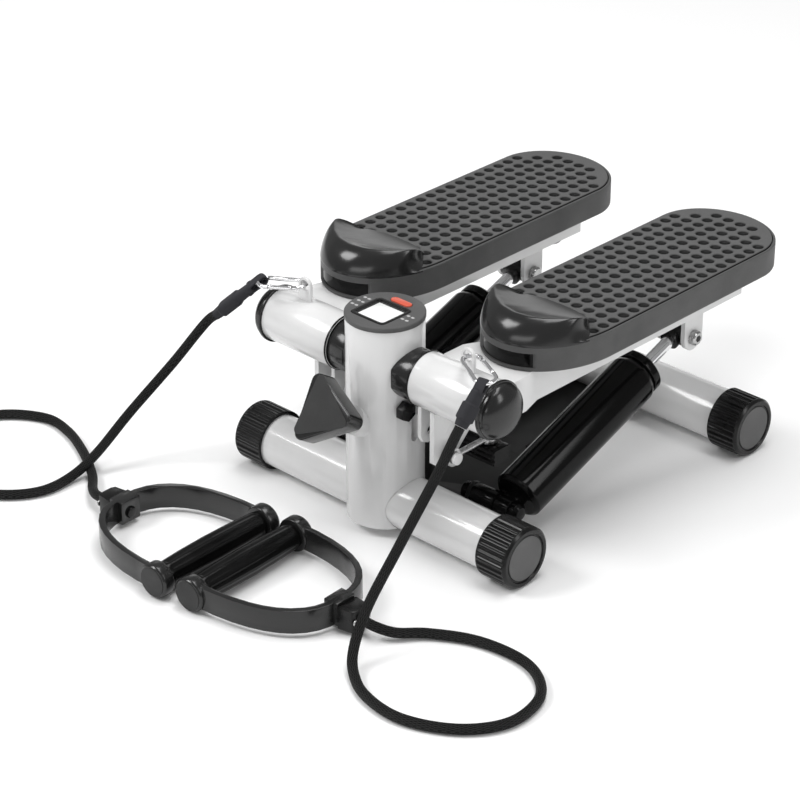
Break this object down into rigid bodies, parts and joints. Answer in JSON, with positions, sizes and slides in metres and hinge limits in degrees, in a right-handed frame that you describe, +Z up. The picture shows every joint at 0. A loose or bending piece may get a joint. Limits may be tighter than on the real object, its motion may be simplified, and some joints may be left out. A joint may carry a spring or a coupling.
{
  "type": "mini stepper",
  "caption": "Mini stepper with level foot pedals on a pivoting post frame, hydraulic cylinders, a console and two resistance cords with D-handles.",
  "frame": {"origin": "centre of the footprint of the machine and its two D-handles, at floor level, without the free cords", "axes": "+Z up; +Y from the console towards the heels of the pedals; +X towards the pedal and foot caps on the user's left when facing the console"},
  "size_m": [0.7159, 0.631, 0.223],
  "materials": {
    "white_paint": "gloss",
    "dark_paint": "satin",
    "black_plastic": "moulded, fine ribs",
    "gloss_black": "gloss",
    "black_paint": "gloss",
    "grey_plastic": "satin",
    "chrome": "polished",
    "steel": "zinc plated",
    "rubber": "matte",
    "webbing": "braided",
    "red_button": "gloss",
    "lcd": "clear cover"
  },
  "bodies": {
    "frame": {"front_tube": "white_paint", "rear_tube": "white_paint", "base_plate": "dark_paint", "post": "white_paint", "post_side_bolt": "black_paint", "pivot_shaft": "steel", "rocker_bolt": "steel", "foot_cap_front_right": "black_plastic", "foot_cap_front_left": "black_plastic", "foot_cap_rear_right": "black_plastic", "foot_cap_rear_left": "black_plastic", "lower_bolt_right": "steel", "lower_bolt_left": "steel", "pivot_sleeve_right": "black_plastic", "pivot_sleeve_left": "black_plastic", "console_housing": "grey_plastic", "console_lcd": "lcd", "cord_right": "webbing", "cord_left": "webbing", "handle_bow_right": "gloss_black", "handle_bow_left": "gloss_black", "cord_clamp_right": "black_plastic", "cord_clamp_left": "black_plastic"},
    "pedal_arm_right": {"pivot_tube_right": "white_paint", "pivot_cap_right": "gloss_black", "arm_right": "white_paint", "pedal_right": "grey_plastic", "tread_right": "grey_plastic", "toe_cup_right": "gloss_black", "bumper_right": "rubber", "clevis_bolt_right": "steel"},
    "cylinder_right": {"barrel_right": "black_paint"},
    "piston_right": {"rod_right": "chrome", "rod_eye_right": "rubber"},
    "hook_right": {"carabiner_right": "chrome", "strap_right": "webbing"},
    "gate_right": {"gate_right": "chrome"},
    "link_right": {"link_right": "steel"},
    "grip_right": {"grip_right": "rubber"},
    "pedal_arm_left": {"pivot_tube_left": "white_paint", "pivot_cap_left": "gloss_black", "arm_left": "white_paint", "pedal_left": "grey_plastic", "tread_left": "grey_plastic", "toe_cup_left": "gloss_black", "bumper_left": "rubber", "clevis_bolt_left": "steel"},
    "cylinder_left": {"barrel_left": "black_paint"},
    "piston_left": {"rod_left": "chrome", "rod_eye_left": "rubber"},
    "hook_left": {"carabiner_left": "chrome", "strap_left": "webbing"},
    "gate_left": {"gate_left": "chrome"},
    "link_left": {"link_left": "steel"},
    "grip_left": {"grip_left": "rubber"},
    "rocker": {"rocker": "black_plastic"},
    "height_knob": {"knob": "gloss_black", "knob_screw": "steel"},
    "console_button": {"console_button": "red_button"}
  },
  "joints": [
    {"name": "step_right", "type": "hinge", "parent": "frame", "child": "pedal_arm_right", "pos_m": [0.1077, -0.0753, 0.16], "axis": [1, 0, 0], "range_deg": [-10, 10]},
    {"name": "step_left", "type": "hinge", "parent": "frame", "child": "pedal_arm_left", "pos_m": [-0.0875, -0.0753, 0.16], "axis": [1, 0, 0], "range_deg": [-10, 10]},
    {"name": "cylinder_swing_right", "type": "hinge", "parent": "frame", "child": "cylinder_right", "pos_m": [0.1077, -0.0233, 0.029], "axis": [1, 0, 0], "range_deg": [-10.3, 10.3]},
    {"name": "piston_slide_right", "type": "slide", "parent": "cylinder_right", "child": "piston_right", "axis": [0, 0.9365, 0.3507], "range_m": [-0.0246, 0.0246]},
    {"name": "cylinder_swing_left", "type": "hinge", "parent": "frame", "child": "cylinder_left", "pos_m": [-0.0875, -0.0233, 0.029], "axis": [1, 0, 0], "range_deg": [-10.3, 10.3]},
    {"name": "piston_slide_left", "type": "slide", "parent": "cylinder_left", "child": "piston_left", "axis": [0, 0.9365, 0.3507], "range_m": [-0.0246, 0.0246]},
    {"name": "rocker_turn", "type": "hinge", "parent": "frame", "child": "rocker", "pos_m": [0.0101, -0.0283, 0.082], "axis": [0, 0, 1], "range_deg": [-8.3, 8.3]},
    {"name": "link_turn_right", "type": "hinge", "parent": "rocker", "child": "link_right", "pos_m": [0.0901, -0.0283, 0.095], "axis": [0, 0, 1], "range_deg": [-8.3, 8.3]},
    {"name": "hook_shift_right", "type": "slide", "parent": "frame", "child": "hook_right", "axis": [0, 1, 0], "range_m": [-0.0069, 0.0069], "deforming": ["cord_right"]},
    {"name": "hook_gate_right", "type": "hinge", "parent": "hook_right", "child": "gate_right", "pos_m": [0.12027, -0.0719, 0.1985], "axis": [0.0908, -0.0424, 0.995], "range_deg": [-14, 0], "stiffness_Nm_per_rad": 0.05},
    {"name": "grip_spin_right", "type": "hinge", "parent": "frame", "child": "grip_right", "pos_m": [-0.0069, -0.2313, 0.016], "axis": [-0.0523, 0.9986, 0], "continuous": true},
    {"name": "link_turn_left", "type": "hinge", "parent": "rocker", "child": "link_left", "pos_m": [-0.0699, -0.0283, 0.095], "axis": [0, 0, 1], "range_deg": [-8.3, 8.3]},
    {"name": "hook_shift_left", "type": "slide", "parent": "frame", "child": "hook_left", "axis": [0, 1, 0], "range_m": [-0.0069, 0.0069], "deforming": ["cord_left"]},
    {"name": "hook_gate_left", "type": "hinge", "parent": "hook_left", "child": "gate_left", "pos_m": [-0.09298, -0.08713, 0.1987], "axis": [-0.0728, -0.034, 0.9968], "range_deg": [-14, 0], "stiffness_Nm_per_rad": 0.05},
    {"name": "grip_spin_left", "type": "hinge", "parent": "frame", "child": "grip_left", "pos_m": [-0.0439, -0.2373, 0.016], "axis": [0.0349, -0.9994, 0], "continuous": true},
    {"name": "knob_turn", "type": "hinge", "parent": "frame", "child": "height_knob", "pos_m": [0.0101, -0.1553, 0.1415], "axis": [0, -0.848, 0.5299], "continuous": true},
    {"name": "button_press", "type": "slide", "parent": "frame", "child": "console_button", "axis": [0, 0, -1], "range_m": [0, 0.0012], "stiffness_N_per_m": 300}
  ],
  "couplings": [
    {"joint": "step_left", "follows": "step_right", "ratio": -1},
    {"joint": "cylinder_swing_right", "follows": "step_right", "ratio": 1.014},
    {"joint": "piston_slide_right", "follows": "step_right", "m_per_rad": 0.14046},
    {"joint": "cylinder_swing_left", "follows": "step_right", "ratio": -1.014},
    {"joint": "piston_slide_left", "follows": "step_right", "m_per_rad": -0.14046},
    {"joint": "rocker_turn", "follows": "step_right", "ratio": 0.8125},
    {"joint": "link_turn_right", "follows": "step_right", "ratio": -0.8125},
    {"joint": "hook_shift_right", "follows": "step_right", "m_per_rad": -0.0395},
    {"joint": "link_turn_left", "follows": "step_right", "ratio": -0.8125},
    {"joint": "hook_shift_left", "follows": "step_right", "m_per_rad": 0.0395}
  ]
}
